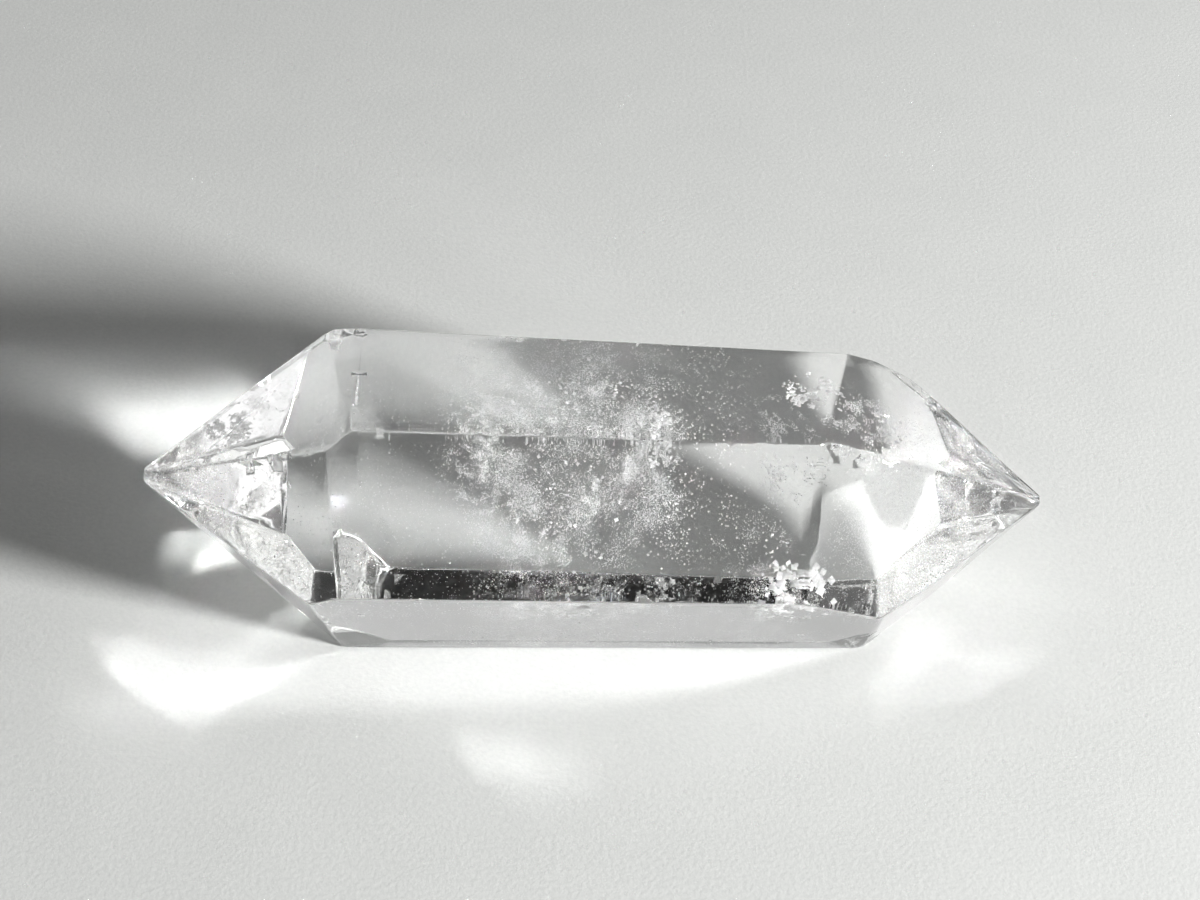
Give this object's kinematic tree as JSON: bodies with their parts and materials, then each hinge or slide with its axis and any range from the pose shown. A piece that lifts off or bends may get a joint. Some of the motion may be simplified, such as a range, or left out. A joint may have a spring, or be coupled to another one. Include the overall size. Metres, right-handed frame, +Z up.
{
  "type": "double-terminated quartz point",
  "caption": "Clear, polished six-sided quartz prism with a six-sided point at each end, cloudy veils inside, resting on one long side.",
  "frame": {"origin": "middle of the bounding box, on the surface that the crystal rests on", "axes": "+X along the crystal's long axis towards the end that lies at the right in the picture, -Y towards the picture's viewer, +Z up"},
  "size_m": [0.05, 0.0186, 0.0175],
  "materials": {
    "quartz": "polished"
  },
  "bodies": {
    "root": {"crystal": "quartz"}
  },
  "joints": []
}
